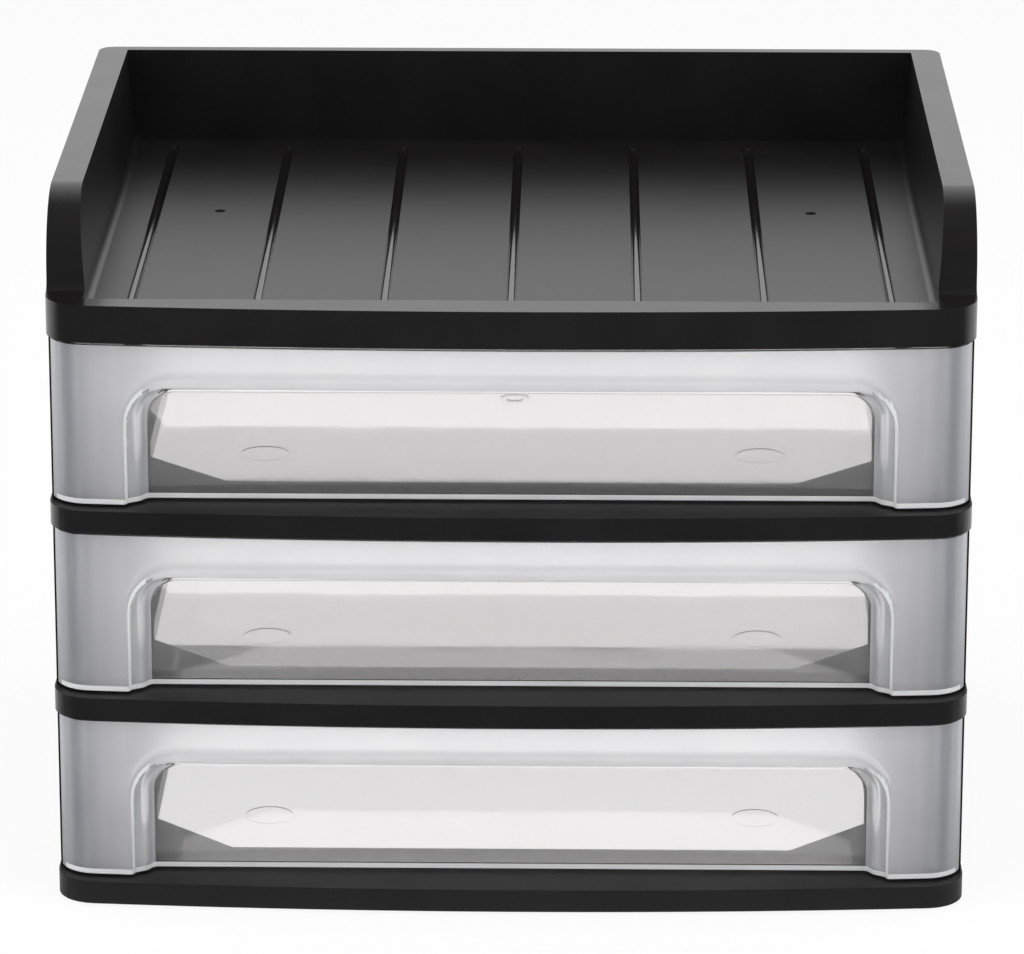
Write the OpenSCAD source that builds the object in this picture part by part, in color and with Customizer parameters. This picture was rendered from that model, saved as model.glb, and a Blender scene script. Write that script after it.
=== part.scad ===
// Letter tray stack with three pull-out drawers.
// X to the right, Y to the back, Z up; the origin is on the table under the middle.

/* [Case] */
// Width over the black bands
unit_w = 360; // [340:1:390]
// Depth from the front of the bow to the back
unit_d = 286; // [270:1:300]
// How far the bowed front swells in its middle
front_bow = 7.6; // [4:0.2:14]
// Radius of the front corners
front_corner_r = 16; // [12:1:20]
// Radius of the rear corners
rear_corner_r = 7; // [6:0.5:10]
// Height of each black band
band_h = 9.2; // [8:0.1:12]
// Clear height of each drawer bay
bay_h = 68; // [60:0.5:90]
// Wall thickness of the black mouldings
skin = 2.5; // [2:0.1:3]

/* [Decks] */
// Thickness of a deck
deck_t = 2.5; // [2:0.1:3]
// Depth of the deck's front rail, from the bow
front_rail = 42; // [36:1:50]
// Depth of the deck's rear rail
rear_rail = 14; // [12:1:50]
// Width of the deck's side rails
side_rail = 34; // [32:1:45]
// Cut corner of the deck's opening, across
cut_x = 34; // [10:1:50]
// Cut corner of the deck's opening, back
cut_y = 33; // [10:1:50]
// Height of the runners that carry a drawer
runner_h = 0.7; // [0.5:0.1:1]
// Width of a runner
runner_w = 3; // [2:0.5:5]

/* [Tray] */
// Height of the tray's front band, lip included
tray_band_h = 15; // [13:0.1:20]
// Step from the lip down to the tray's floor
lip_step = 3; // [1.5:0.1:4]
// Thickness of the tray's floor
floor_t = 3; // [2.5:0.1:3.5]
// Height of the walls above the tray's floor
wall_h = 39; // [25:1:60]
// Thickness of the side walls at their top
wall_top_t = 12.3; // [9:0.1:14]
// Thickness of the side walls at the floor
wall_foot_t = 15.2; // [14.5:0.1:20]
// Thickness of the back wall
back_wall_t = 6; // [5.5:0.1:10]
// Setback of the side walls' front end from the bow
wall_setback = 28; // [25:0.5:50]
// Radius of the side walls' rounded front end
wall_nose_r = 30; // [15:1:32]
// Radius of the hollow at the front end's foot
wall_foot_r = 5; // [3:0.5:8]
// Radius between the side walls and the floor
floor_fillet = 3.5; // [2:0.5:5]
// Width of the lip strip in the middle of the bow
lip_w = 16; // [14:0.5:22]
// Number of grooves in the tray's floor
groove_count = 7; // [3:1:9]
// Distance between grooves
groove_pitch = 49; // [20:0.5:50]
// Width of a groove
groove_w = 4; // [2:0.5:5]
// Depth of a groove
groove_depth = 1.3; // [0.8:0.1:1.5]
// Distance from a groove's rear end to the back wall
groove_end_gap = 13; // [8:1:30]

/* [Drawers] */
// Setback of a drawer's front from the bands' bow
front_setback = 6.5; // [4:0.5:9]
// Gap over a drawer
gap_over = 2.75; // [2:0.25:4]
// Gap between a drawer and the deck under it
gap_under = 1; // [0.9:0.1:1.5]
// Wall thickness of a drawer
drawer_wall = 2; // [1.6:0.1:2.6]
// Gap between a drawer's box and the side panels
side_gap = 3.4; // [3:0.1:5]
// How much the front narrows towards its lower edge, each side
front_taper = 0.7; // [0:0.1:1.5]
// How much the box narrows towards its floor, each side
box_taper = 2; // [0:0.5:4]
// Radius of the box's lower edges
box_edge_r = 5; // [3:0.5:8]
// Radius of the box's rear corners
box_corner_r = 9; // [6:1:14]
// Travel of a drawer
travel = 190; // [150:1:200]

/* [Finger pull] */
// Half width of the finger pull's mouth
pull_half_w = 150.8; // [120:0.2:155]
// Height of the plain face above the finger pull
pull_top = 7.4; // [5:0.2:12]
// Radius of the mouth's upper corners
pull_corner_r = 21; // [16:1:26]
// Height of the rounded upper lip
lip_roll_h = 11; // [7:0.5:14]
// Depth of the rounded upper lip
lip_roll_d = 9; // [6:0.5:10]
// Radius of the mouth's side edges
side_roll_r = 1.6; // [1:0.1:2.5]
// How far the side walls lean in, from mouth to panel
side_lean = 5.5; // [4:0.5:10]
// Depth of the clear panel behind the face, in the middle
pull_depth = 14.4; // [13.5:0.1:22]
// Radius round the clear panel
panel_fillet = 3; // [2:0.5:4]

/* [Feet] */
// Diameter of a foot
foot_d = 14; // [10:1:18]
// How far a foot stands out below the base
foot_out = 1.2; // [1:0.1:2]
// How deep a foot sits in its cup
foot_in = 2; // [1:0.1:3]
// Wall of a foot's cup
cup_wall = 2; // [1.5:0.1:3]
// Distance from the sides to a foot's middle
foot_inset_x = 20; // [18:1:26]
// Distance from the front and the back to a foot's middle
foot_inset_y = 24; // [22:1:30]

/* [Hidden] */

black = "#232021";
clear_plastic = [0.86, 0.88, 0.9, 0.6];
rubber = "#2a2a2a";

// Heights
tier = band_h + bay_h;
function band_z(level) = foot_out + level * tier;
tray_z = band_z(3);
tray_h = tray_band_h - lip_step + wall_h;
tray_floor_z = tray_band_h - lip_step;

// Plan of the bands
front_y = -unit_d / 2;
rear_y = unit_d / 2;
bow_r = (unit_w * unit_w / 4 + front_bow * front_bow) / (2 * front_bow);
bow_steps = 24;
corner_steps = 8;
over = 1; // how far a cutting shape runs past the face it cuts
sink = 0.1; // how far a small piece sinks into what carries it

// Runners: distance from the deck's opening, and from the back
runner_inset = 8;
runner_end = 16;

foot_gap = 0.2;
foot_edge = 0.6;

// Side panels and what locks them
panel_inset = 0.6;
back_skin = 2;
panel_front = front_y + 24;
panel_x = unit_w / 2 - panel_inset;
corner_return = 13.4;
tab_len = 12;
tab_t = 2.5;
tab_h = 4.2;
tab_root = 7;
tab_gap = 0.1;
tab_places = [front_y + 50, 10, rear_y - 40];

// Back frames
frame_t = 2.5;
frame_rail = 12;
frame_post = 16;
frame_cut = 10;
frame_tongue = 4;
frame_gap = 0.2;
frame_y = rear_y - panel_inset - skin - frame_t;

// Drawers
drawer_h = bay_h - gap_over - gap_under;
drawer_half = panel_x - skin - side_gap;
drawer_rear = frame_y - 2.4;
drawer_bow_r = bow_r - front_setback;
face_y = front_y + front_setback;
return_end = panel_front - 0.5;
box_start = 6;
stop_tab_len = 12;
stop_tab_h = gap_over + 4;
stop_rib_t = 2.5;
stop_rib_y = drawer_rear - box_corner_r - stop_tab_len - travel - 0.5 - stop_rib_t;
stop_rib_x = panel_x - skin - tab_t - 0.5;
panel_y = face_y + pull_depth;

// Shallow round wells in a drawer's floor, and the ring where it was filled
well_d = 19.4;
well_depth = 0.4;
well_x = 98.8;
well_y = front_y + 74;
gate_ring_d = 12;
gate_ring_w = 2.5;
gate_ring_y = front_y + 152;

// Marks where the tray was filled
gate_mark_d = 4.5;
gate_mark_depth = 0.3;
gate_mark_x = 121;
gate_mark_y = front_y + 159;

// Points of an arc about c, from angle a0 to a1
function arc(c, r, a0, a1, n) =
    [for (i = [0:n]) let(a = a0 + (a1 - a0) * i / n) [c[0] + r * cos(a), c[1] + r * sin(a)]];

function flip_x(points) =
    [for (i = [len(points) - 1:-1:0]) [-points[i][0], points[i][1]]];

// Right half of a plan with a bowed front, from the middle of the bow to the rear corner
function half_plan(half_w, y0, y1, bow, rf, rr) =
    let(cy = y0 + bow,
        fx = half_w - rf,
        a = asin(fx / (bow - rf)),
        fy = cy - (bow - rf) * cos(a))
    concat(
        [for (i = [1:bow_steps / 2])
            let(t = a * i / (bow_steps / 2)) [bow * sin(t), cy - bow * cos(t)]],
        [for (j = [1:corner_steps])
            let(t = a + (90 - a) * j / corner_steps) [fx + rf * sin(t), fy - rf * cos(t)]],
        arc([half_w - rr, y1 - rr], rr, 0, 90, corner_steps));

function full_plan(half_w, y0, y1, bow, rf, rr) =
    let(half = half_plan(half_w, y0, y1, bow, rf, rr))
    concat([[0, y0]], half, flip_x(half));

// Plan of a band, grown by g all round
function band_plan(g) =
    full_plan(unit_w / 2 + g, front_y - g, rear_y + g, bow_r + g, front_corner_r + g,
              rear_corner_r + g);

// Opening of a deck with cut corners, grown by g all round
function deck_opening(g) =
    let(x = unit_w / 2 - side_rail + g,
        y0 = front_y + front_rail - g,
        y1 = rear_y - rear_rail + g,
        k = g * tan(22.5))
    [[-x + cut_x - k, y0], [x - cut_x + k, y0], [x, y0 + cut_y - k], [x, y1 - cut_y + k],
     [x - cut_x + k, y1], [-x + cut_x - k, y1], [-x, y1 - cut_y + k], [-x, y0 + cut_y - k]];

module both_sides() {
    children();
    mirror([1, 0, 0]) children();
}

// Extrudes a side profile, drawn as y and z, across x from -half to half
module across(half) {
    rotate([90, 0, 90]) translate([0, 0, -half]) linear_extrude(2 * half) children();
}

// Extrudes a front section, drawn as x and z, back from y0 to y1
module along(y0, y1) {
    translate([0, y1, 0]) rotate([90, 0, 0]) linear_extrude(y1 - y0) children();
}

// ---- Decks: two shelves and the base ----

// Ribs under a deck that stop a drawer's tabs
module stop_ribs_2d() {
    both_sides()
        translate([unit_w / 2 - side_rail, stop_rib_y])
            square([stop_rib_x - unit_w / 2 + side_rail, stop_rib_t]);
}

// Hollow under a deck or the tray, left open downwards
module under_hollow(depth) {
    translate([0, 0, -over]) linear_extrude(depth + over)
        difference() {
            polygon(band_plan(-skin));
            stop_ribs_2d();
        }
}

module tab_slots() {
    both_sides()
        for (y = tab_places)
            translate([panel_x - skin - tab_t - tab_gap, y - tab_len / 2 - tab_gap, band_h - deck_t - over])
                cube([tab_t + 2 * tab_gap, tab_len + 2 * tab_gap, deck_t + 2 * over]);
}

module deck_body() {
    difference() {
        linear_extrude(band_h) polygon(band_plan(0));
        difference() {
            under_hollow(band_h - deck_t);
            // Rim that stiffens the opening
            translate([0, 0, -2 * over]) linear_extrude(band_h + 3 * over) polygon(deck_opening(skin));
        }
        translate([0, 0, -over]) linear_extrude(band_h + 2 * over) polygon(deck_opening(0));
        tab_slots();
    }
    // Runners
    both_sides()
        translate([unit_w / 2 - side_rail + runner_inset, front_y + front_rail, band_h - sink])
            cube([runner_w, unit_d - front_rail - runner_end, runner_h + sink]);
}

module shelf(level) {
    color(black) translate([0, 0, band_z(level)]) deck_body();
}

module foot_places() {
    for (sx = [-1, 1], sy = [-1, 1])
        translate([sx * (unit_w / 2 - foot_inset_x), sy * (unit_d / 2 - foot_inset_y), 0]) children();
}

module base_frame() {
    color(black) translate([0, 0, band_z(0)]) difference() {
        union() {
            deck_body();
            // Cups that hold the feet
            foot_places() cylinder(d = foot_d + 2 * cup_wall, h = band_h - deck_t + sink, $fn = 48);
        }
        foot_places() translate([0, 0, -over]) cylinder(d = foot_d + foot_gap, h = foot_in + over, $fn = 48);
    }
}

module foot(sx, sy) {
    color(rubber)
        translate([sx * (unit_w / 2 - foot_inset_x), sy * (unit_d / 2 - foot_inset_y), 0])
            rotate_extrude($fn = 48)
                polygon([[0, 0], [foot_d / 2 - foot_edge, 0], [foot_d / 2, foot_edge],
                         [foot_d / 2, foot_out + foot_in], [0, foot_out + foot_in]]);
}

// ---- Side panels and back frames ----

module panel_tab(y) {
    translate([panel_x - skin - tab_t, y - tab_len / 2, -tab_h])
        cube([tab_t, tab_len, tab_h + tab_root]);
    // Root that joins the tab to the panel
    translate([panel_x - skin - tab_t, y - tab_len / 2, 0.2])
        cube([tab_t + 0.5, tab_len, tab_root - 0.2]);
}

module side_panel(level) {
    cx = panel_x - rear_corner_r + panel_inset;
    cy = rear_y - rear_corner_r;
    r = rear_corner_r - panel_inset;
    outline = concat(
        [[panel_x - skin, panel_front], [panel_x, panel_front]],
        arc([cx, cy], r, 0, 90, corner_steps),
        [[panel_x - corner_return, cy + r], [panel_x - corner_return, cy + r - skin]],
        arc([cx, cy], r - skin, 90, 0, corner_steps));
    color(black) translate([0, 0, band_z(level) + band_h]) {
        linear_extrude(bay_h) polygon(outline);
        for (y = tab_places) {
            panel_tab(y);
            translate([0, 0, bay_h]) mirror([0, 0, 1]) panel_tab(y);
        }
    }
}

// An upper rail on two posts
module back_frame(level) {
    half = panel_x - rear_corner_r + panel_inset - frame_gap;
    open_half = unit_w / 2 - frame_post;
    color(black) translate([0, frame_y + frame_t, band_z(level) + band_h]) rotate([90, 0, 0])
        linear_extrude(frame_t) difference() {
            translate([-half, 0]) square([2 * half, bay_h + frame_tongue]);
            polygon([[-open_half, -over], [open_half, -over],
                     [open_half, bay_h - frame_rail - frame_cut],
                     [open_half - frame_cut, bay_h - frame_rail],
                     [-open_half + frame_cut, bay_h - frame_rail],
                     [-open_half, bay_h - frame_rail - frame_cut]]);
        }
}

// ---- Top tray ----

// Side profile of the tray, shrunk by g inside its outer faces
module tray_profile(g) {
    wall_y = front_y + wall_setback;
    polygon(concat(
        [[rear_y + over - g, -over], [rear_y + over - g, tray_h - g]],
        arc([wall_y + wall_nose_r, tray_h - wall_nose_r], wall_nose_r - g, 90, 180, 12),
        arc([wall_y - wall_foot_r, tray_band_h + wall_foot_r], wall_foot_r + g, 0, -90, 5),
        [[front_y - over, tray_band_h - g], [front_y - over, -over]]));
}

// Section of the tray's cavity, grown by g into its walls
module cavity_section(g) {
    foot_half = unit_w / 2 - wall_foot_t + g;
    top_half = unit_w / 2 - wall_top_t + g;
    lean = atan((top_half - foot_half) / wall_h);
    fx = foot_half - floor_fillet * tan((90 - lean) / 2);
    side = concat(arc([fx, tray_floor_z + floor_fillet], floor_fillet, -90, -lean, 6),
                  [[top_half + over * tan(lean), tray_h + over]]);
    polygon(concat(side, flip_x(side)));
}

module tray_cavity() {
    lip_y = front_y + lip_w;
    along(lip_y, rear_y - back_wall_t) cavity_section(0);
    intersection() {
        along(front_y - 10, lip_y + over) cavity_section(0);
        translate([-unit_w, front_y - 20, tray_band_h]) cube([2 * unit_w, lip_w + 30, tray_h]);
    }
}

// A groove's cutter: a round bar with a round rear end
module groove_cutter(len) {
    r = (groove_w * groove_w / 4 + groove_depth * groove_depth) / (2 * groove_depth);
    translate([0, 0, tray_floor_z - groove_depth + r]) rotate([-90, 0, 0])
        rotate_extrude($fn = 48)
            polygon(concat([[0, 0], [r, 0]], arc([0, len - r], r, 0, 90, 6)));
}

module tray_grooves() {
    groove_start = front_y + lip_w - 0.2;
    groove_len = rear_y - back_wall_t - groove_end_gap - groove_start;
    for (i = [0:groove_count - 1])
        translate([(i - (groove_count - 1) / 2) * groove_pitch, groove_start, 0])
            groove_cutter(groove_len);
}

// Hollows inside the side walls and the back wall, open from below
module wall_hollows() {
    inner_foot = unit_w / 2 - wall_foot_t + skin;
    inner_top = unit_w / 2 - wall_top_t + skin;
    outer = unit_w / 2 - skin;
    intersection() {
        both_sides()
            along(front_y + wall_setback + skin, rear_y - rear_corner_r)
                polygon([[inner_foot, -over], [outer, -over], [outer, tray_h - skin],
                         [inner_top, tray_h - skin], [inner_foot, tray_floor_z]]);
        across(unit_w) tray_profile(skin);
    }
    translate([-unit_w / 2 + wall_foot_t, rear_y - back_wall_t + back_skin, -over])
        cube([unit_w - 2 * wall_foot_t, back_wall_t - 2 * back_skin, tray_h - skin + over]);
}

module gate_marks() {
    both_sides()
        translate([gate_mark_x, gate_mark_y, tray_floor_z - gate_mark_depth])
            cylinder(d = gate_mark_d, h = over, $fn = 24);
}

module top_tray() {
    color(black) translate([0, 0, tray_z]) difference() {
        intersection() {
            linear_extrude(tray_h) polygon(band_plan(0));
            across(unit_w) tray_profile(0);
        }
        tray_cavity();
        tray_grooves();
        gate_marks();
        under_hollow(tray_floor_z - floor_t);
        wall_hollows();
    }
}

// ---- Drawers ----

// Face of a drawer's front at x, behind which depths are measured
function face_at(x) = face_y + drawer_bow_r - sqrt(drawer_bow_r * drawer_bow_r - x * x);

// How much shallower the pull is at x than in the middle
function shallow_at(x) = (panel_y - panel_fillet - face_at(x)) / (pull_depth - panel_fillet);

// The finger pull is a stack of rings. Each ring is one step inwards: how far it has moved in from
// the mouth's side and top edges, and how deep it lies there. w is the wall grown round it.
roll_steps = 7;
lean_steps = 6;
fillet_steps = 4;
pull_corner_steps = 8;
pull_top_steps = 14;
mouth_lead = 0.2;   // the first ring lies this far ahead of the face
lean_reach = 0.82;  // share of the way to the panel at which the leaning walls end
panel_step = 1;     // step from the leaning walls to the rounding
min_corner_r = 5;
pull_below = 10;    // how far the cutting shape runs below the drawer

function s_curve(u) = u * u * (3 - 2 * u);

// [side inset, top inset, side depth, share of the lip's depth, share of the way to the panel]
function ring_insets(w) = concat(
    // rounded edges of the mouth
    [for (i = [0:roll_steps])
        let(a = 90 * i / roll_steps, start = i == 0 ? w - mouth_lead : w)
        [(side_roll_r - w) * sin(a), (lip_roll_h - w) * sin(a),
         start + side_roll_r * (1 - cos(a)), 1 - cos(a), 0]],
    // side walls that lean in, and the roof
    [for (i = [1:lean_steps])
        let(u = lean_reach * i / lean_steps)
        [side_roll_r + side_lean * s_curve(u) - w, lip_roll_h - w, side_roll_r + w, 1, u]]);

// One point of a ring: its depth is blended from the side's to the lip's round the corner
function ring_point(x, z, blend, inset, w) =
    let(lip = w + (lip_roll_d - w) * inset[3] * shallow_at(x) - (inset[3] == 0 ? mouth_lead : 0),
        rolled = face_at(x) + inset[2] * (1 - blend) + lip * blend,
        end = panel_y + w - panel_fillet)
    [x, rolled + (end - rolled) * inset[4], z];

// Outline of a ring in x and z, with the share of the top in each point
function ring_outline(in_x, in_z, r) =
    let(hx = pull_half_w - in_x, hz = drawer_h - pull_top - in_z)
    concat(
        [[-hx, -pull_below, 0]],
        [for (i = [0:pull_corner_steps])
            let(a = 180 - 90 * i / pull_corner_steps)
            [-hx + r + r * cos(a), hz - r + r * sin(a), pow(sin(90 * i / pull_corner_steps), 2)]],
        [for (i = [1:pull_top_steps - 1]) [(-hx + r) + 2 * (hx - r) * i / pull_top_steps, hz, 1]],
        [for (i = [pull_corner_steps:-1:0])
            let(a = 90 - 90 * (pull_corner_steps - i) / pull_corner_steps)
            [hx - r + r * cos(a), hz - r + r * sin(a), pow(sin(90 * i / pull_corner_steps), 2)]],
        [[hx, -pull_below, 0]]);

module finger_pull(w) {
    insets = ring_insets(w);
    last = insets[len(insets) - 1];
    r_of = function(inset) max(min_corner_r, pull_corner_r - (inset[0] + inset[1]) / 2);
    mouth = [for (p = ring_outline(0, 0, pull_corner_r)) [p[0], front_y - 2 * front_setback, p[1]]];
    body = [for (inset = insets)
        [for (p = ring_outline(inset[0], inset[1], r_of(inset))) ring_point(p[0], p[1], p[2], inset, w)]];
    // The fillet turns the walls into the clear panel
    fillet = [for (j = [1:fillet_steps])
        let(a = 90 * j / fillet_steps, m = panel_fillet * (1 - cos(a)))
        [for (p = ring_outline(last[0] + panel_step + m, last[1] + m, r_of(last) - m))
            [p[0], panel_y + w - panel_fillet * (1 - sin(a)), p[1]]]];
    rings = concat([mouth], body, fillet);
    n = len(mouth);
    points = [for (ring = rings) for (p = ring) p];
    sides = [for (k = [0:len(rings) - 2]) for (i = [0:n - 1])
        let(a = k * n + i, b = k * n + (i + 1) % n, c = b + n, d = a + n)
        each [[a, c, b], [a, d, c]]];
    front_cap = [for (i = [0:n - 1]) i];
    rear_cap = [for (i = [n - 1:-1:0]) (len(rings) - 1) * n + i];
    polyhedron(points = points, faces = concat(sides, [front_cap, rear_cap]), convexity = 8);
}

// Section of a drawer's box, shrunk by g inside its walls and floor
module box_section(g) {
    low = drawer_half - box_taper - g;
    high = drawer_half - g;
    r = box_edge_r - g;
    side = concat(arc([low - r, r + g], r, -90, 0, 5), [[high, drawer_h + (g > 0 ? over : 0)]]);
    polygon(concat(side, flip_x(side)));
}

// Plan of half width half_w that reaches back to y1 and has rounded rear corners
module rear_rounded(half_w, y1, r) {
    side = concat([[half_w, front_y]], arc([half_w - r, y1 - r], r, 0, 90, corner_steps));
    polygon(concat(side, flip_x(side)));
}

module drawer_outer() {
    // Front, as wide as the case
    intersection() {
        linear_extrude(drawer_h)
            intersection() {
                polygon(full_plan(panel_x, face_y, rear_y, drawer_bow_r,
                                  front_corner_r - panel_inset, rear_corner_r));
                translate([-unit_w, face_y - over]) square([2 * unit_w, return_end - face_y + over]);
            }
        along(face_y - 2 * over, return_end + over)
            polygon([[-panel_x + front_taper, 0], [panel_x - front_taper, 0],
                     [panel_x, drawer_h], [-panel_x, drawer_h]]);
    }
    // Box behind it, which starts inside the front
    intersection() {
        along(return_end - box_start, drawer_rear) box_section(0);
        linear_extrude(drawer_h) rear_rounded(drawer_half, drawer_rear, box_corner_r);
    }
}

// Pockets between the front's wrapped ends and the box, open at the back and the top
module wrap_pockets() {
    translate([0, 0, drawer_wall]) linear_extrude(drawer_h) difference() {
        intersection() {
            polygon(full_plan(panel_x - front_taper - drawer_wall, face_y + drawer_wall, rear_y,
                              drawer_bow_r - drawer_wall,
                              front_corner_r - panel_inset - drawer_wall, rear_corner_r));
            translate([-unit_w, face_y]) square([2 * unit_w, return_end - face_y + over]);
        }
        translate([-drawer_half, face_y]) square([2 * drawer_half, unit_d]);
    }
}

module drawer_inner() {
    intersection() {
        along(face_y, drawer_rear - drawer_wall) box_section(drawer_wall);
        translate([0, 0, drawer_wall]) linear_extrude(drawer_h)
            polygon(full_plan(drawer_half - drawer_wall, face_y + drawer_wall,
                              drawer_rear - drawer_wall, drawer_bow_r - drawer_wall, 6,
                              box_corner_r - drawer_wall));
    }
}

// Wells in the floor's upper side
module floor_marks() {
    both_sides()
        translate([well_x, well_y, drawer_wall - well_depth]) cylinder(d = well_d, h = over, $fn = 48);
    translate([0, gate_ring_y, drawer_wall - well_depth]) difference() {
        cylinder(d = gate_ring_d, h = over, $fn = 36);
        translate([0, 0, -over]) cylinder(d = gate_ring_d - 2 * gate_ring_w, h = 3 * over, $fn = 36);
    }
}

module drawer(level) {
    color(clear_plastic) translate([0, 0, band_z(level) + band_h + gap_under]) difference() {
        union() {
            drawer_outer();
            // Tabs that meet the stops under the deck above
            both_sides()
                translate([drawer_half - drawer_wall,
                           drawer_rear - box_corner_r - stop_tab_len, drawer_h - 3])
                    cube([drawer_wall, stop_tab_len, stop_tab_h + 3]);
        }
        wrap_pockets();
        difference() {
            drawer_inner();
            finger_pull(drawer_wall);
        }
        finger_pull(0);
        floor_marks();
    }
}

top_tray();
shelf(2);  // shelf_upper
shelf(1);  // shelf_lower
base_frame();
mirror([1, 0, 0]) side_panel(2);  // side_left_top
mirror([1, 0, 0]) side_panel(1);  // side_left_middle
mirror([1, 0, 0]) side_panel(0);  // side_left_bottom
side_panel(2);  // side_right_top
side_panel(1);  // side_right_middle
side_panel(0);  // side_right_bottom
back_frame(2);  // back_frame_top
back_frame(1);  // back_frame_middle
back_frame(0);  // back_frame_bottom
drawer(2);  // drawer_top
drawer(1);  // drawer_middle
drawer(0);  // drawer_bottom
foot(-1, -1);  // foot_front_left
foot(1, -1);  // foot_front_right
foot(-1, 1);  // foot_rear_left
foot(1, 1);  // foot_rear_right
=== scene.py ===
"""Letter tray stack with three pull-out drawers: the looks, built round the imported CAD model."""

import math

import bmesh
import bpy
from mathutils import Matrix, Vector


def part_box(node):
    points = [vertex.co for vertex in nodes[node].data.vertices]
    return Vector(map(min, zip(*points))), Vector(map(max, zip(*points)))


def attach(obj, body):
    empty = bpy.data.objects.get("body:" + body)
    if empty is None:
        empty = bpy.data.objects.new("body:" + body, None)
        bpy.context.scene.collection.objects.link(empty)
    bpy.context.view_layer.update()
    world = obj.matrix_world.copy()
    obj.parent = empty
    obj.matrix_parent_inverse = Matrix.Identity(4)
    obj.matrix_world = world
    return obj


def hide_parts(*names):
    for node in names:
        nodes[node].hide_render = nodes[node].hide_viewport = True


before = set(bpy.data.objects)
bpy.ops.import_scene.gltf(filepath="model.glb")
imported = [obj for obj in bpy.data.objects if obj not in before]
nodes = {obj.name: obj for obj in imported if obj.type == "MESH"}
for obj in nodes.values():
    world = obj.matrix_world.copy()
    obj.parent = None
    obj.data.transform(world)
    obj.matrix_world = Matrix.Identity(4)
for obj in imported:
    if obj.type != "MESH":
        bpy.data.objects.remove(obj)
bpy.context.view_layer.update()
MM = 0.001

# ---- Camera ----
# A long lens stands a little to the right of the middle and looks down on the tray from in front.
# The shift only centres the object as the photograph does.
CAMERA_PLACE = (0.0272, -2.1971, 0.8359)
CAMERA_DOWN = math.radians(17.225)
CAMERA_TURN = 0.0164
camera_data = bpy.data.cameras.new("camera")
camera_data.sensor_width = 36.0
camera_data.lens = 196.5
camera_data.shift_x = 0.0185
camera_data.shift_y = -0.042
camera_data.clip_end = 20.0
camera = bpy.data.objects.new("camera", camera_data)
camera.location = CAMERA_PLACE
camera.rotation_euler = (math.pi / 2 - CAMERA_DOWN, 0, CAMERA_TURN)
bpy.context.scene.collection.objects.link(camera)
bpy.context.scene.camera = camera
bpy.context.scene.view_settings.view_transform = "Standard"

# ---- Studio ----
# A white table that runs out into a white surround, one broad soft light overhead, one at each
# side and a low strip in front. The room in front is dark, and plastics mirror it as dark.


def colour(text):
    """An sRGB hex value as the linear colour that a shader takes."""
    parts = [int(text[i:i + 2], 16) / 255 for i in (1, 3, 5)]
    return [c / 12.92 if c <= 0.04045 else ((c + 0.055) / 1.055) ** 2.4 for c in parts] + [1.0]


def add_node(tree, kind, links=(), inputs=(), **settings):
    """Adds a node, sets its properties and its inputs, and links (from_socket, to_input) pairs."""
    node = tree.nodes.new(kind)
    for name, value in settings.items():
        setattr(node, name, value)
    for name, value in inputs:
        node.inputs[name].default_value = value
    for source, socket in links:
        tree.links.new(source, node.inputs[socket])
    return node


ROOM_LIGHT = 0.55
DARK_ROOM = 0.12
WORLD_THROUGH = 1.2
WHITE = (1, 1, 1, 1)
world = bpy.data.worlds.new("studio")
bpy.context.scene.world = world
world.use_nodes = True
tree = world.node_tree
tree.nodes.clear()
path = add_node(tree, "ShaderNodeLightPath")
seen = add_node(tree, "ShaderNodeMath", [(path.outputs["Is Camera Ray"], 0),
                                         (path.outputs["Is Transmission Ray"], 1)],
                operation="MAXIMUM")
place = add_node(tree, "ShaderNodeTexCoord")
split = add_node(tree, "ShaderNodeSeparateXYZ", [(place.outputs["Generated"], 0)])
room = add_node(tree, "ShaderNodeMapRange", [(split.outputs["Y"], "Value")],
                [("From Min", 0.05), ("From Max", 0.8), ("To Min", DARK_ROOM), ("To Max", 1.0)],
                interpolation_type="SMOOTHSTEP")
mirrored = add_node(tree, "ShaderNodeBackground", [(room.outputs[0], "Strength")],
                    [("Color", WHITE)])
plain = add_node(tree, "ShaderNodeBackground",
                 inputs=[("Color", WHITE), ("Strength", ROOM_LIGHT)])
white = add_node(tree, "ShaderNodeBackground",
                 inputs=[("Color", WHITE), ("Strength", WORLD_THROUGH)])
mix = add_node(tree, "ShaderNodeMixShader", [(path.outputs["Is Glossy Ray"], 0), (plain.outputs[0], 1),
                                             (mirrored.outputs[0], 2)])
mix = add_node(tree, "ShaderNodeMixShader", [(seen.outputs[0], 0), (mix.outputs[0], 1),
                                             (white.outputs[0], 2)])
add_node(tree, "ShaderNodeOutputWorld", [(mix.outputs[0], "Surface")])

bpy.ops.object.select_all(action="DESELECT")
bpy.ops.mesh.primitive_plane_add(size=8)
floor = bpy.context.object
floor.name = "floor"
FLOOR_GLOW = 0.9
TABLE_THROUGH = 1.3
TABLE_WHITE = (0.9, 0.9, 0.9, 1)
table_paint = bpy.data.materials.new("white_table")
table_paint.use_nodes = True
tree = table_paint.node_tree
tree.nodes.clear()
path = add_node(tree, "ShaderNodeLightPath")
seen = add_node(tree, "ShaderNodeMath", [(path.outputs["Is Camera Ray"], 0),
                                         (path.outputs["Is Transmission Ray"], 1)],
                operation="MAXIMUM")
share = add_node(tree, "ShaderNodeMath", [(seen.outputs[0], 0)], [(1, FLOOR_GLOW)],
                 operation="MULTIPLY")
place = add_node(tree, "ShaderNodeTexCoord")
split = add_node(tree, "ShaderNodeSeparateXYZ", [(place.outputs["Object"], 0)])
room = add_node(tree, "ShaderNodeMapRange", [(split.outputs["Y"], "Value")],
                [("From Min", -0.3), ("From Max", 0.25), ("To Min", DARK_ROOM), ("To Max", 1.0)],
                interpolation_type="SMOOTHSTEP")
matt = add_node(tree, "ShaderNodeBsdfDiffuse", inputs=[("Color", TABLE_WHITE)])
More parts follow.
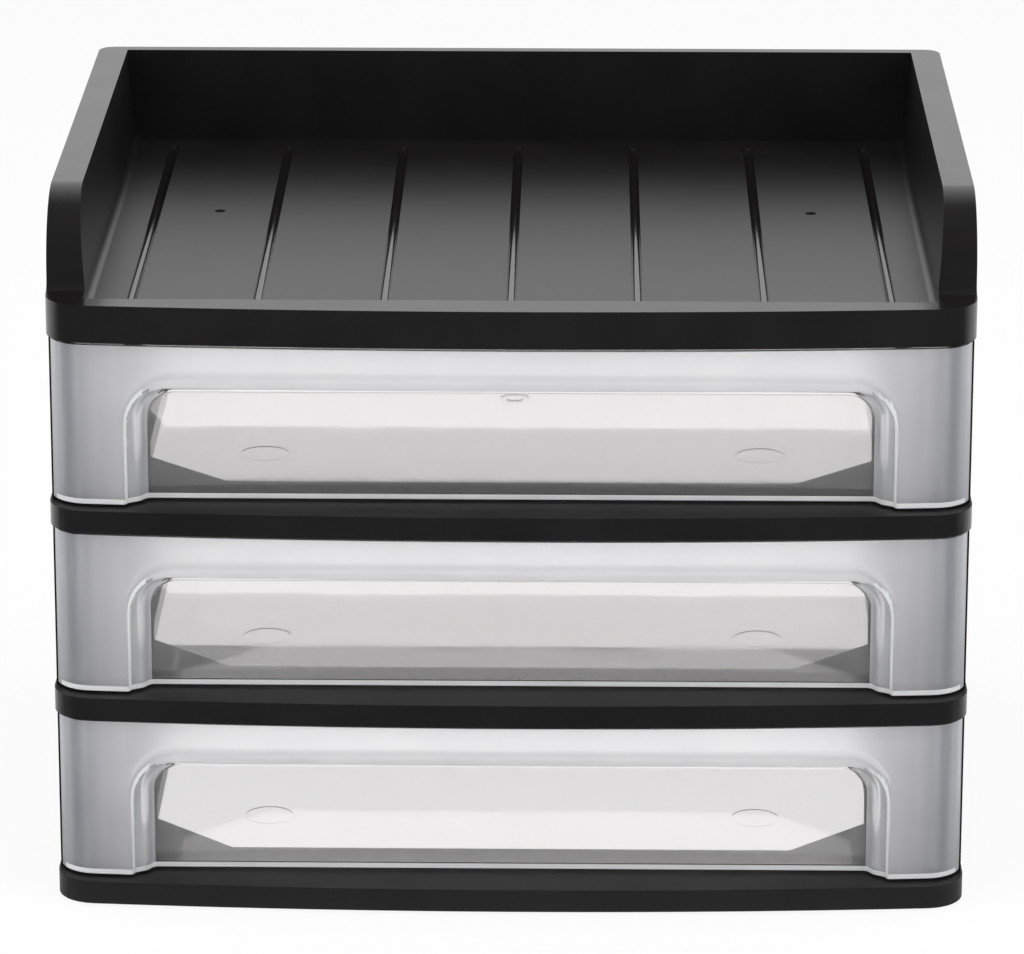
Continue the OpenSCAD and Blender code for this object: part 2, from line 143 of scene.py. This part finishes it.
through = add_node(tree, "ShaderNodeMapRange", [(path.outputs["Is Transmission Ray"], "Value")],
                   [("To Min", 1.0), ("To Max", TABLE_THROUGH)])
glow = add_node(tree, "ShaderNodeEmission", [(through.outputs[0], "Strength")],
                [("Color", WHITE)])
mirrored = add_node(tree, "ShaderNodeEmission", [(room.outputs[0], "Strength")],
                    [("Color", WHITE)])
mix = add_node(tree, "ShaderNodeMixShader", [(path.outputs["Is Glossy Ray"], 0), (matt.outputs[0], 1),
                                             (mirrored.outputs[0], 2)])
mix = add_node(tree, "ShaderNodeMixShader", [(share.outputs[0], 0), (mix.outputs[0], 1),
                                             (glow.outputs[0], 2)])
add_node(tree, "ShaderNodeOutputMaterial", [(mix.outputs[0], "Surface")])
floor.data.materials.append(table_paint)

# Name, place, what it is aimed at, width and height in metres, and watts
LAMPS = (("softbox_over", (0, -0.1, 1.6), (0, 0, 0.1), (1.6, 1.2), 14),
         ("softbox_left", (-1.5, -1.0, 0.9), (0, 0, 0.12), (0.9, 1.2), 11),
         ("softbox_right", (1.5, -1.0, 0.9), (0, 0, 0.12), (0.9, 1.2), 11),
         ("low_fill", (0, -1.3, 0.12), (0, 0, 0.2), (1.4, 0.2), 3.5))
for name, place, aim, size, watts in LAMPS:
    lamp_data = bpy.data.lights.new(name, "AREA")
    lamp_data.shape = "RECTANGLE"
    lamp_data.size, lamp_data.size_y = size
    lamp_data.energy = watts
    lamp = bpy.data.objects.new(name, lamp_data)
    lamp.location = place
    lamp.rotation_euler = (Vector(aim) - Vector(place)).to_track_quat("-Z", "Y").to_euler()
    lamp.visible_glossy = False
    lamp.visible_camera = False
    lamp.visible_transmission = False
    bpy.context.scene.collection.objects.link(lamp)

# ---- Base frame ----
# The lowest deck, an open frame injection moulded in black polystyrene. Its bowed band is the
# foot of the case, and the bottom drawer runs on its rails.

# Moulded polystyrene: an even satin gloss from a polished tool. Its skin is faintly wavy from
# the flow of the plastic (waves of about 35 mm), with a fine spark-eroded grain over it. The
# real grain is 0.1 mm, which is too fine to show, so it is drawn at 0.5 mm.
FLOW_MM = 35.0
GRAIN_MM = 0.5
black_plastic = bpy.data.materials.new("moulded_black_polystyrene")
black_plastic.use_nodes = True
tree = black_plastic.node_tree
shader = tree.nodes["Principled BSDF"]
shader.inputs["IOR"].default_value = 1.58
place = add_node(tree, "ShaderNodeTexCoord")
flow = add_node(tree, "ShaderNodeTexNoise", [(place.outputs["Object"], "Vector")],
                [("Scale", 1 / (FLOW_MM * MM)), ("Detail", 2.0), ("Roughness", 0.5)])
grain = add_node(tree, "ShaderNodeTexNoise", [(place.outputs["Object"], "Vector")],
                 [("Scale", 1 / (GRAIN_MM * MM)), ("Detail", 1.0)])
tint = add_node(tree, "ShaderNodeValToRGB", [(flow.outputs[0], 0)])
tint.color_ramp.elements[0].position, tint.color_ramp.elements[0].color = 0.3, colour("#121011")
tint.color_ramp.elements[1].position, tint.color_ramp.elements[1].color = 0.7, colour("#181617")
tree.links.new(tint.outputs[0], shader.inputs["Base Color"])
gloss = add_node(tree, "ShaderNodeMapRange", [(flow.outputs[0], "Value")],
                 [("From Min", 0.3), ("From Max", 0.7), ("To Min", 0.19), ("To Max", 0.24)])
tree.links.new(gloss.outputs[0], shader.inputs["Roughness"])
waves = add_node(tree, "ShaderNodeBump", [(flow.outputs[0], "Height")],
                 [("Strength", 0.05), ("Distance", 0.0003)])
pores = add_node(tree, "ShaderNodeBump", [(grain.outputs[0], "Height"), (waves.outputs[0], "Normal")],
                 [("Strength", 0.02), ("Distance", 0.00002)])
tree.links.new(pores.outputs[0], shader.inputs["Normal"])

BAND_EDGE = 0.45 * MM
WRAP_END = 24.0 * MM
SHARP = math.radians(38)
MERGE_GAP = 0.005 * MM
FLAT_ENOUGH = math.radians(0.05)
SMOOTH_BELOW = math.radians(30)


def moulding(node_name, rounded=(), split_z=None):
    """A merged copy of a CAD node, its chosen sharp edges rounded as the mould leaves them.

    rounded holds (edge_of, radius, steps); edge_of(middle, normal_a, normal_b) says which sharp
    edges get that radius. The faces of the front are parted at the height split_z."""
    mesh = nodes[node_name].data.copy()
    piece = bpy.data.objects.new(node_name + "_moulding", mesh)
    bpy.context.scene.collection.objects.link(piece)
    bpy.ops.object.select_all(action="DESELECT")
    piece.select_set(True)
    bpy.context.view_layer.objects.active = piece
    bpy.ops.mesh.customdata_custom_splitnormals_clear()
    bpy.ops.object.mode_set(mode="EDIT")
    bpy.ops.mesh.select_all(action="SELECT")
    bpy.ops.mesh.remove_doubles(threshold=MERGE_GAP)
    bpy.ops.mesh.dissolve_limited(angle_limit=FLAT_ENOUGH, delimit={"NORMAL"})
    if split_z is not None:
        bpy.ops.object.mode_set(mode="OBJECT")
        front = min(v.co.y for v in mesh.vertices)
        for poly in mesh.polygons:
            poly.select = poly.center.y < front + WRAP_END and poly.normal.y < -0.05
        bpy.ops.object.mode_set(mode="EDIT")
        bpy.ops.mesh.bisect(plane_co=(0, 0, split_z), plane_no=(0, 0, 1))
    bpy.ops.object.mode_set(mode="OBJECT")
    for edge_of, radius, steps in rounded:
        work = bmesh.new()
        work.from_mesh(mesh)
        weight = work.edges.layers.float.get("bevel_weight_edge")
        weight = weight or work.edges.layers.float.new("bevel_weight_edge")
        for edge in work.edges:
            edge[weight] = 0.0
            if len(edge.link_faces) == 2 and edge.calc_face_angle(0) > SHARP:
                middle = (edge.verts[0].co + edge.verts[1].co) / 2
                if edge_of(middle, edge.link_faces[0].normal, edge.link_faces[1].normal):
                    edge[weight] = 1.0
        work.to_mesh(mesh)
        work.free()
        bpy.ops.object.modifier_add(type="BEVEL")
        bevel = piece.modifiers[-1]
        bevel.width = radius
        bevel.segments = steps
        bevel.limit_method = "WEIGHT"
        bpy.ops.object.modifier_apply(modifier=bevel.name)
    bpy.ops.object.shade_smooth_by_angle(angle=SMOOTH_BELOW)
    bpy.ops.object.modifier_add(type="WEIGHTED_NORMAL")
    piece.modifiers[-1].keep_sharp = True
    bpy.ops.object.modifier_apply(modifier=piece.modifiers[-1].name)
    return piece


def fit(piece, node_name, body, material):
    """The piece stands for its CAD node, moves with the body and takes the slot's finish."""
    piece.data.materials.clear()
    piece.data.materials.append(material)
    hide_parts(node_name)
    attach(piece, body)


# Two measures that are this close count as the same
SAME = 0.1 * MM
BAND_SIDE_X = 176 * MM
BAND_FRONT_Y = 134 * MM


def band_edge(low, high):
    """Gives the test for a band's upper and lower outer edges, at the heights low and high."""
    def on_edge(middle, a, b):
        flat = max(abs(a.z), abs(b.z)) > 0.9 and min(abs(a.z), abs(b.z)) < 0.3
        outward = max(a.x * middle.x + a.y * middle.y, b.x * middle.x + b.y * middle.y) > 0
        near = abs(middle.x) > BAND_SIDE_X or abs(middle.y) > BAND_FRONT_Y
        return flat and outward and near and min(abs(middle.z - low), abs(middle.z - high)) < SAME
    return on_edge


# The decks' upper faces are blasted in the tool: duller, and they mirror less than the bands.
blasted_black = black_plastic.copy()
blasted_black.name = "blasted_black_polystyrene"
tree = blasted_black.node_tree
shader = tree.nodes["Principled BSDF"]
shader.inputs["Specular IOR Level"].default_value = 0.22
place = add_node(tree, "ShaderNodeTexCoord")
pits = add_node(tree, "ShaderNodeTexNoise", [(place.outputs["Object"], "Vector")],
                [("Scale", 1 / (GRAIN_MM * MM)), ("Detail", 1.0)])
dull = add_node(tree, "ShaderNodeMapRange", [(pits.outputs[0], "Value")],
                [("To Min", 0.40), ("To Max", 0.50)])
tree.links.new(dull.outputs[0], shader.inputs["Roughness"])

BLASTED = 1


def blast_top(deck, band_top):
    """Gives the deck's upper faces, from the top of its band up, the blasted finish."""
    deck.data.materials.append(blasted_black)
    for poly in deck.data.polygons:
        if poly.normal.z > 0.9 and poly.center.z > band_top - SAME:
            poly.material_index = BLASTED


low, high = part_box("base_frame")
BAND_H = 9.2 * MM
base = moulding("base_frame", [(band_edge(low.z, low.z + BAND_H), BAND_EDGE, 2)])
fit(base, "base_frame", "case", black_plastic)
blast_top(base, low.z + BAND_H)

# ---- Feet ----
# Four small pads, each moulded by itself in soft black rubber. They are pressed into round cups
# under the base, and stop the case from sliding.

# Rubber: matt and faintly grained; the real grain is 0.2 mm and is drawn at 0.6 mm.
RUBBER_GRAIN_MM = 0.6
rubber = bpy.data.materials.new("matt_black_rubber")
rubber.use_nodes = True
tree = rubber.node_tree
shader = tree.nodes["Principled BSDF"]
shader.inputs["Base Color"].default_value = colour("#1c1b1b")
shader.inputs["IOR"].default_value = 1.52
place = add_node(tree, "ShaderNodeTexCoord")
grain = add_node(tree, "ShaderNodeTexNoise", [(place.outputs["Object"], "Vector")],
                 [("Scale", 1 / (RUBBER_GRAIN_MM * MM)), ("Detail", 2.0)])
dull = add_node(tree, "ShaderNodeMapRange", [(grain.outputs[0], "Value")],
                [("To Min", 0.65), ("To Max", 0.9)])
tree.links.new(dull.outputs[0], shader.inputs["Roughness"])
bumps = add_node(tree, "ShaderNodeBump", [(grain.outputs[0], "Height")],
                 [("Strength", 0.3), ("Distance", 0.0001)])
tree.links.new(bumps.outputs[0], shader.inputs["Normal"])
for corner in ("front_left", "front_right", "rear_left", "rear_right"):
    foot = moulding("foot_" + corner)
    fit(foot, "foot_" + corner, "case", rubber)

# ---- Side panels and back frames ----
# Plain black panels close each bay at the sides and turn round the rear corners; their tabs snap
# into the decks. A rail on two posts braces each open back.
PANEL_EDGE = 0.3 * MM


def front_upright(middle, a, b):
    """The upright edges at a side panel's front."""
    return max(abs(a.z), abs(b.z)) < 0.1 and middle.y < 0


def rear_face(middle, a, b):
    """The edges round a back frame's outer face."""
    return max(a.y, b.y) > 0.9


for tier in ("bottom", "middle", "top"):
    for side in ("left", "right"):
        name = f"side_{side}_{tier}"
        panel = moulding(name, [(front_upright, PANEL_EDGE, 2)])
        fit(panel, name, "case", black_plastic)
    name = "back_frame_" + tier
    brace = moulding(name, [(rear_face, PANEL_EDGE, 2)])
    fit(brace, name, "case", black_plastic)

# ---- Shelves ----
# Two decks like the base, moulded from the same black polystyrene. Only their bowed front bands
# and their sides show.
for name in ("shelf_lower", "shelf_upper"):
    low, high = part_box(name)
    shelf = moulding(name, [(band_edge(low.z, low.z + BAND_H), BAND_EDGE, 2)])
    fit(shelf, name, "case", black_plastic)
    blast_top(shelf, low.z + BAND_H)

# ---- Top tray ----
# One deep moulding in the same black polystyrene: a grooved floor, thick hollow side walls with
# rounded noses, a thin back wall and a low lip that follows the bow of the front.
TRAY_BAND_H = 15.0 * MM
TRAY_BACK_WALL = 6.0 * MM
TRAY_FLOOR_H = 12.0 * MM
WALL_EDGE = 1.4 * MM
FINE_EDGE = 0.35 * MM
HOLLOW_R = 1.2 * MM
WALL_OUT_X = 178 * MM
WALL_IN_X = 170 * MM
REAR_Y = 141.5 * MM
# The x of an edge in metres times that of its face's normal: a side wall's outside is over this
OUTWARD = 0.144
low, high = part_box("top_tray")
tray_front, tray_back = low.y, high.y - TRAY_BACK_WALL
tray_low, tray_floor, tray_top = low.z, low.z + TRAY_FLOOR_H, high.z


def wall_rim(middle, a, b):
    """The outer upper edge of the side walls and the back wall, down to the lip."""
    if middle.z < tray_low + TRAY_BAND_H + 0.5 * MM:
        return False
    out = max(a.x * middle.x, b.x * middle.x) > OUTWARD or max(a.y, b.y) > 0.9
    outer = abs(middle.x) > WALL_OUT_X or middle.y > REAR_Y
    return outer and out and max(a.z - abs(a.x), b.z - abs(b.x), -a.y, -b.y) > 0.05


def tray_hollow(middle, a, b):
    """The inner corners, where the back wall meets the floor and the side walls."""
    at_back = abs(middle.y - tray_back) < SAME and abs(middle.x) < WALL_IN_X - 1 * MM
    return at_back and middle.z < tray_top - 1 * MM and middle.z > tray_floor - SAME


def inner_rim(middle, a, b):
    """The inner upper edge of the walls, the inner edge of their noses, and the lip's edges."""
    side = 1 if middle.x > 0 else -1
    inward = min(a.x * side, b.x * side, -1 if middle.y > tray_back - SAME else 1) < -0.7
    shown = max(a.z, b.z, -a.y, -b.y) > 0.2
    above_lip = middle.z > tray_low + TRAY_BAND_H + 0.2 * MM
    wall = shown and inward and abs(middle.x) < WALL_IN_X and above_lip
    lip = max(a.z, b.z) > 0.9 and abs(middle.z - tray_low - TRAY_BAND_H) < SAME
    return (wall and middle.y < tray_back + SAME) or lip


tray = moulding("top_tray", [(wall_rim, WALL_EDGE, 4), (inner_rim, FINE_EDGE, 2),
                             (tray_hollow, HOLLOW_R, 3)])
fit(tray, "top_tray", "case", black_plastic)

# Inside, the tray's floor and walls have a fine spark-eroded texture, duller than the rest. The
# real one is 0.1 mm and is drawn at 0.6 mm.
TEXTURE_MM = 0.6
textured_black = black_plastic.copy()
textured_black.name = "textured_black_polystyrene"
tree = textured_black.node_tree
shader = tree.nodes["Principled BSDF"]
place = add_node(tree, "ShaderNodeTexCoord")
pits = add_node(tree, "ShaderNodeTexNoise", [(place.outputs["Object"], "Vector")],
                [("Scale", 1 / (TEXTURE_MM * MM)), ("Detail", 1.0)])
dull = add_node(tree, "ShaderNodeMapRange", [(pits.outputs[0], "Value")],
                [("To Min", 0.29), ("To Max", 0.37)])
tree.links.new(dull.outputs[0], shader.inputs["Roughness"])
tray.data.materials.append(textured_black)

# The grooves are cut in the tool by a ball cutter and polished, so they mirror the white surround
# and the black back wall sharply.
polished_black = bpy.data.materials.new("polished_black_polystyrene")
polished_black.use_nodes = True
tree = polished_black.node_tree
shader = tree.nodes["Principled BSDF"]
shader.inputs["Base Color"].default_value = colour("#141213")
shader.inputs["IOR"].default_value = 1.58
place = add_node(tree, "ShaderNodeTexCoord")
flow = add_node(tree, "ShaderNodeTexNoise", [(place.outputs["Object"], "Vector")],
                [("Scale", 1 / (FLOW_MM * MM)), ("Detail", 2.0)])
gloss = add_node(tree, "ShaderNodeMapRange", [(flow.outputs[0], "Value")],
                 [("To Min", 0.06), ("To Max", 0.14)])
tree.links.new(gloss.outputs[0], shader.inputs["Roughness"])
tray.data.materials.append(polished_black)
TEXTURED, GROOVE = 1, 2
GROOVES_END_X = 164 * MM
LIP_W = 16 * MM
for poly in tray.data.polygons:
    c, n = poly.center, poly.normal
    within = abs(c.x) < WALL_IN_X + 1 * MM and c.y < tray_back + SAME
    inside = within and c.z > tray_floor - 3 * MM
    upward = n.z > 0 and c.z < tray_floor + 6 * MM
    faces_in = n.x * c.x < -0.01 * abs(c.x) or n.y < -0.9
    if inside and upward and c.z < tray_floor - 0.05 * MM and abs(c.x) < GROOVES_END_X:
        poly.material_index = GROOVE
    elif inside and (upward or faces_in) and c.y > tray_front + LIP_W:
        poly.material_index = TEXTURED

# ---- Drawers ----
# Three like drawers, each one moulding in clear polystyrene. The front is blasted in the tool and
# comes out frosted, round to the rolled upper lip of the finger pull. The pull's leaning side walls
# are satin. Its roof and window, and the box behind, come off polished steel and are clear.
ROLL_DEPTH = 7.0 * MM
FRONT_SETBACK = 6.5 * MM
DRAWER_H = 64.25 * MM
BAND_BOW_R = 2135.2 * MM
DRAWER_FLOOR = 2.0 * MM

# Frosted polystyrene: a fine matt skin that scatters the light. The blasted grain is 0.05 mm and
# is drawn at 0.6 mm.
FROST_FLOW_MM = 30.0
FROST_GRAIN_MM = 0.6
frosted = bpy.data.materials.new("frosted_clear_polystyrene")
frosted.use_nodes = True
tree = frosted.node_tree
shader = tree.nodes["Principled BSDF"]
shader.inputs["IOR"].default_value = 1.5
place = add_node(tree, "ShaderNodeTexCoord")
flow = add_node(tree, "ShaderNodeTexNoise", [(place.outputs["Object"], "Vector")],
                [("Scale", 1 / (FROST_FLOW_MM * MM)), ("Detail", 2.0)])
grain = add_node(tree, "ShaderNodeTexNoise", [(place.outputs["Object"], "Vector")],
                 [("Scale", 1 / (FROST_GRAIN_MM * MM)), ("Detail", 1.0)])
tint = add_node(tree, "ShaderNodeValToRGB", [(flow.outputs[0], 0)])
tint.color_ramp.elements[0].position, tint.color_ramp.elements[0].color = 0.3, colour("#ebebee")
tint.color_ramp.elements[1].position, tint.color_ramp.elements[1].color = 0.7, colour("#f2f2f4")
# The lip of the finger pull turns under. Its colour is toned by which way each face points: painted
# shade, a soft darker line where its roll starts, and painted light, a whiter underside. The underside
# is also less clear, where the plastic is thickest
facing = add_node(tree, "ShaderNodeNewGeometry")
facing = add_node(tree, "ShaderNodeSeparateXYZ", [(facing.outputs["Normal"], 0)])
under = add_node(tree, "ShaderNodeMath", [(facing.outputs["Z"], 0)], [(1, -1.0)],
                 operation="MULTIPLY")
rolled = add_node(tree, "ShaderNodeMapRange", [(under.outputs[0], "Value")],
                  [("From Min", 0.1), ("From Max", 0.85), ("To Min", 0.45), ("To Max", 0.14)])
tree.links.new(rolled.outputs[0], shader.inputs["Transmission Weight"])
painted_roll_shade_and_light = add_node(tree, "ShaderNodeValToRGB", [(under.outputs[0], 0)])
painted_roll_shade_and_light.color_ramp.interpolation = "EASE"
ends = painted_roll_shade_and_light.color_ramp.elements
ends[0].position, ends[0].color = 0.05, (0.5, 0.5, 0.5, 1)
ends[1].position, ends[1].color = 0.9, (0.55, 0.55, 0.55, 1)
for where, tone in ((0.14, 0.485), (0.28, 0.425), (0.45, 0.5)):
    ends.new(where).color = (tone, tone, tone, 1)
# Painted shade: a darker upright band near each end of the front, where the box's side wall and the
# black panel stand close behind and show through the frosting
END_SHADE_FROM_X, END_SHADE_TO_X = 0.13, 0.18
split = add_node(tree, "ShaderNodeSeparateXYZ", [(place.outputs["Object"], 0)])
out = add_node(tree, "ShaderNodeMath", [(split.outputs["X"], 0)], operation="ABSOLUTE")
out = add_node(tree, "ShaderNodeMapRange", [(out.outputs[0], "Value")],
               [("From Min", END_SHADE_FROM_X), ("From Max", END_SHADE_TO_X)])
painted_end_shade = add_node(tree, "ShaderNodeValToRGB", [(out.outputs[0], 0)])
painted_end_shade.color_ramp.interpolation = "EASE"
painted_end_shade.color_ramp.elements[0].color = colour("#ffffff")
painted_end_shade.color_ramp.elements[1].color = colour("#e6e7e9")
for where, shade in ((0.44, "#e6e6e8"), (0.60, "#dadadd"), (0.74, "#c4c5c9"), (0.82, "#b4b6bb"),
                     (0.90, "#ccced1")):
    painted_end_shade.color_ramp.elements.new(where).color = colour(shade)
paint = add_node(tree, "ShaderNodeMix", [(tint.outputs[0], 6), (painted_end_shade.outputs[0], 7)], [(0, 1.0)],
                 data_type="RGBA", blend_type="MULTIPLY")
# Painted shade: the foot of each front is a little darker, for the black deck behind it. The tone runs
# up each front from its foot, twice as strong as wanted, because the roll's painted tone above is
# about a half.
LEVEL_H = 77.2 * MM
FIRST_FOOT = 11.4 * MM
FRONT_H = 64 * MM
painted_foot_shade = add_node(tree, "ShaderNodeMath", [(split.outputs["Z"], 0)], [(1, FIRST_FOOT)],
                operation="SUBTRACT")
painted_foot_shade = add_node(tree, "ShaderNodeMath", [(painted_foot_shade.outputs[0], 0)], [(1, LEVEL_H)],
                operation="MODULO")
painted_foot_shade = add_node(tree, "ShaderNodeMapRange", [(painted_foot_shade.outputs[0], "Value")],
                [("From Max", FRONT_H), ("To Min", 1.53), ("To Max", 1.95)])
painted_foot_shade = add_node(tree, "ShaderNodeMath", [(painted_foot_shade.outputs[0], 0), (painted_roll_shade_and_light.outputs[0], 1)],
                operation="MULTIPLY")
paint = add_node(tree, "ShaderNodeVectorMath", [(paint.outputs[2], 0), (painted_foot_shade.outputs[0], 3)],
                 operation="SCALE")
tree.links.new(paint.outputs[0], shader.inputs["Base Color"])
gloss = add_node(tree, "ShaderNodeMapRange", [(flow.outputs[0], "Value")],
                 [("From Min", 0.3), ("From Max", 0.7), ("To Min", 0.36), ("To Max", 0.44)])
tree.links.new(gloss.outputs[0], shader.inputs["Roughness"])
bumps = add_node(tree, "ShaderNodeBump", [(grain.outputs[0], "Height")],
                 [("Strength", 0.12), ("Distance", 0.0001)])
tree.links.new(bumps.outputs[0], shader.inputs["Normal"])

# Polished polystyrene: clear with a trace of haze, and long soft waves from the flow.
CLEAR_FLOW_MM = 45.0
polished = bpy.data.materials.new("polished_clear_polystyrene")
polished.use_nodes = True
tree = polished.node_tree
shader = tree.nodes["Principled BSDF"]
shader.inputs["Base Color"].default_value = colour("#fdfcfc")
shader.inputs["Transmission Weight"].default_value = 0.93
shader.inputs["IOR"].default_value = 1.53
place = add_node(tree, "ShaderNodeTexCoord")
flow = add_node(tree, "ShaderNodeTexNoise", [(place.outputs["Object"], "Vector")],
                [("Scale", 1 / (CLEAR_FLOW_MM * MM)), ("Detail", 1.0)])
gloss = add_node(tree, "ShaderNodeMapRange", [(flow.outputs[0], "Value")],
                 [("To Min", 0.0), ("To Max", 0.05)])
tree.links.new(gloss.outputs[0], shader.inputs["Roughness"])
waves = add_node(tree, "ShaderNodeBump", [(flow.outputs[0], "Height")],
                 [("Strength", 0.10), ("Distance", 0.0006)])
tree.links.new(waves.outputs[0], shader.inputs["Normal"])

# The thin edges of the moulding, at the foot and the top of the front and round the sides of the pull:
# a whiter, less clear copy of the plastic, a painted highlight for the light that clear plastic
# gathers and lets out at its edges.
EDGE_FLOW_MM = 20.0
painted_highlight_edge = bpy.data.materials.new("painted_highlight_polystyrene_edge")
painted_highlight_edge.use_nodes = True
tree = painted_highlight_edge.node_tree
shader = tree.nodes["Principled BSDF"]
shader.inputs["Transmission Weight"].default_value = 0.25
shader.inputs["IOR"].default_value = 1.5
shader.inputs["Roughness"].default_value = 0.3
place = add_node(tree, "ShaderNodeTexCoord")
flow = add_node(tree, "ShaderNodeTexNoise", [(place.outputs["Object"], "Vector")],
                [("Scale", 1 / (EDGE_FLOW_MM * MM)), ("Detail", 2.0)])
tint = add_node(tree, "ShaderNodeValToRGB", [(flow.outputs[0], 0)])
tint.color_ramp.elements[0].position, tint.color_ramp.elements[0].color = 0.3, colour("#e9ebec")
tint.color_ramp.elements[1].position, tint.color_ramp.elements[1].color = 0.7, colour("#f7f8f8")
tree.links.new(tint.outputs[0], shader.inputs["Base Color"])

# The leaning side walls of the finger pull: smooth but not polished, so they are only half clear.
SATIN_FLOW_MM = 18.0
satin = bpy.data.materials.new("satin_clear_polystyrene")
satin.use_nodes = True
tree = satin.node_tree
shader = tree.nodes["Principled BSDF"]
shader.inputs["Transmission Weight"].default_value = 0.6
shader.inputs["IOR"].default_value = 1.5
place = add_node(tree, "ShaderNodeTexCoord")
flow = add_node(tree, "ShaderNodeTexNoise", [(place.outputs["Object"], "Vector")],
                [("Scale", 1 / (SATIN_FLOW_MM * MM)), ("Detail", 2.0)])
tint = add_node(tree, "ShaderNodeValToRGB", [(flow.outputs[0], 0)])
tint.color_ramp.elements[0].position, tint.color_ramp.elements[0].color = 0.3, colour("#dfe0e3")
tint.color_ramp.elements[1].position, tint.color_ramp.elements[1].color = 0.7, colour("#ebecee")
tree.links.new(tint.outputs[0], shader.inputs["Base Color"])
gloss = add_node(tree, "ShaderNodeMapRange", [(flow.outputs[0], "Value")],
                 [("To Min", 0.18), ("To Max", 0.32)])
tree.links.new(gloss.outputs[0], shader.inputs["Roughness"])

FROSTED, CLEAR, EDGE, SATIN = 0, 1, 2, 3
ON_FACE = 0.3 * MM
SIDE_EDGE_DEPTH = 2.6 * MM
PULL_DEPTH = 14.4 * MM
END_OF_FACE = 165.0 * MM
WRAP_X = 176 * MM
CORNER_X = 177 * MM
TOP_EDGE = 0.7 * MM
for tier in ("top", "middle", "bottom"):
    name = "drawer_" + tier
    low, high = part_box(name)
    face_r = BAND_BOW_R - FRONT_SETBACK
    window_y = low.y + PULL_DEPTH

    def face_y(x):
        """Where the bowed face of the front lies at x."""
        return low.y + face_r - math.sqrt(face_r * face_r - x * x)

    def top_edge(middle, a, b):
        """The upper edge of the front's face."""
        on_face = middle.y - face_y(middle.x) < ON_FACE or abs(middle.x) > CORNER_X
        at_top = abs(middle.z - low.z - DRAWER_H) < SAME
        return on_face and at_top and middle.y < low.y + WRAP_END

    drawer = moulding(name, [(top_edge, TOP_EDGE, 2)], low.z + DRAWER_FLOOR)
    fit(drawer, name, name, frosted)
    for other in (polished, painted_highlight_edge, satin):
        drawer.data.materials.append(other)
    corners = drawer.data.vertices
    for poly in drawer.data.polygons:
        c, n = poly.center, poly.normal
        depth = c.y - face_y(c.x)
        deepest = max(corners[v].co.y - face_y(corners[v].co.x) for v in poly.vertices)
        faces_out = n.y < -0.02 and c.y < window_y + 2 * SAME
        wrap = abs(c.x) > WRAP_X and n.x * c.x > 0 and c.y < low.y + WRAP_END
        foot = faces_out and c.z < low.z + DRAWER_FLOOR
        at_top = c.z > low.z + DRAWER_H - TOP_EDGE - SAME
        rim = n.z > 0.2 and at_top and c.y < low.y + WRAP_END
        # The foot and the top rim take the painted highlight finish
        if foot or rim:
            finish = EDGE
        elif wrap or (faces_out and (depth < ON_FACE or abs(c.x) > END_OF_FACE)):
            finish = FROSTED
        elif not faces_out or c.y > window_y - SAME:
            finish = CLEAR
        elif abs(n.x) > 0.3:
            # The narrow side edges of the pull take the painted highlight finish
            finish = EDGE if deepest < SIDE_EDGE_DEPTH else SATIN
        else:
            finish = FROSTED if depth < ROLL_DEPTH else CLEAR
        poly.material_index = finish
